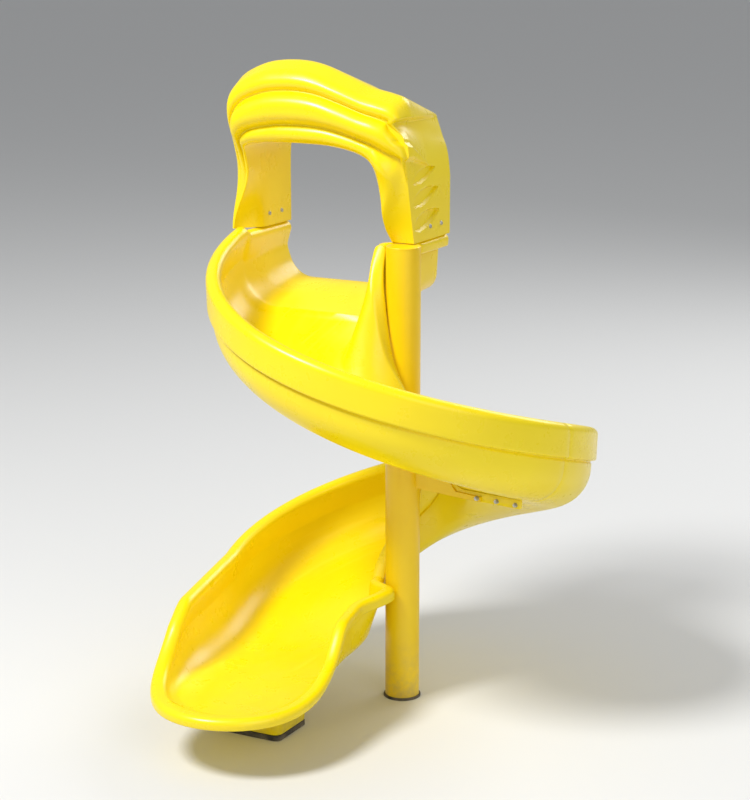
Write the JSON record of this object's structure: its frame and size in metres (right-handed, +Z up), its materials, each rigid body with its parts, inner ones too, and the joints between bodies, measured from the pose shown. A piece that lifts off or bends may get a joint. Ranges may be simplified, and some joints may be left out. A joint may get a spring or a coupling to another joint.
{
  "type": "spiral slide",
  "caption": "Open spiral slide for a playground deck: moulded hood, bolted chute sections round a centre column, and a run-out on a foot block.",
  "frame": {"origin": "centre of the column's foot on the ground", "axes": "+Z up, +Y towards the deck the slide is bolted to, -Y roughly the way the slide runs out; the chute winds anticlockwise seen from above as it goes down"},
  "size_m": [1.4618, 1.7881, 2.3583],
  "materials": {
    "chute_plastic": "smooth rotomoulded polyethylene",
    "column_coat": "powder coat",
    "arm_coat": "powder coat",
    "fastener_steel": "zinc plated",
    "foot_rubber": "matte",
    "insert_brass": "machined"
  },
  "bodies": {
    "root": {"hood": "chute_plastic", "entry_section": "chute_plastic", "middle_section": "chute_plastic", "exit_section": "chute_plastic", "foot_block": "chute_plastic", "centre_column": "column_coat", "column_cap": "column_coat", "column_foot_plate": "column_coat", "upper_arm": "arm_coat", "lower_arm": "arm_coat", "upper_joint_bolts": "fastener_steel", "upper_joint_washers": "fastener_steel", "upper_joint_nuts": "fastener_steel", "lower_joint_bolts": "fastener_steel", "lower_joint_washers": "fastener_steel", "lower_joint_nuts": "fastener_steel", "hood_bolts": "fastener_steel", "hood_washers": "fastener_steel", "hood_nuts": "fastener_steel", "foot_clamp_plate": "fastener_steel", "foot_bolts": "fastener_steel", "foot_pad": "foot_rubber", "column_ground_ring": "foot_rubber", "foot_inserts": "insert_brass"}
  },
  "joints": []
}
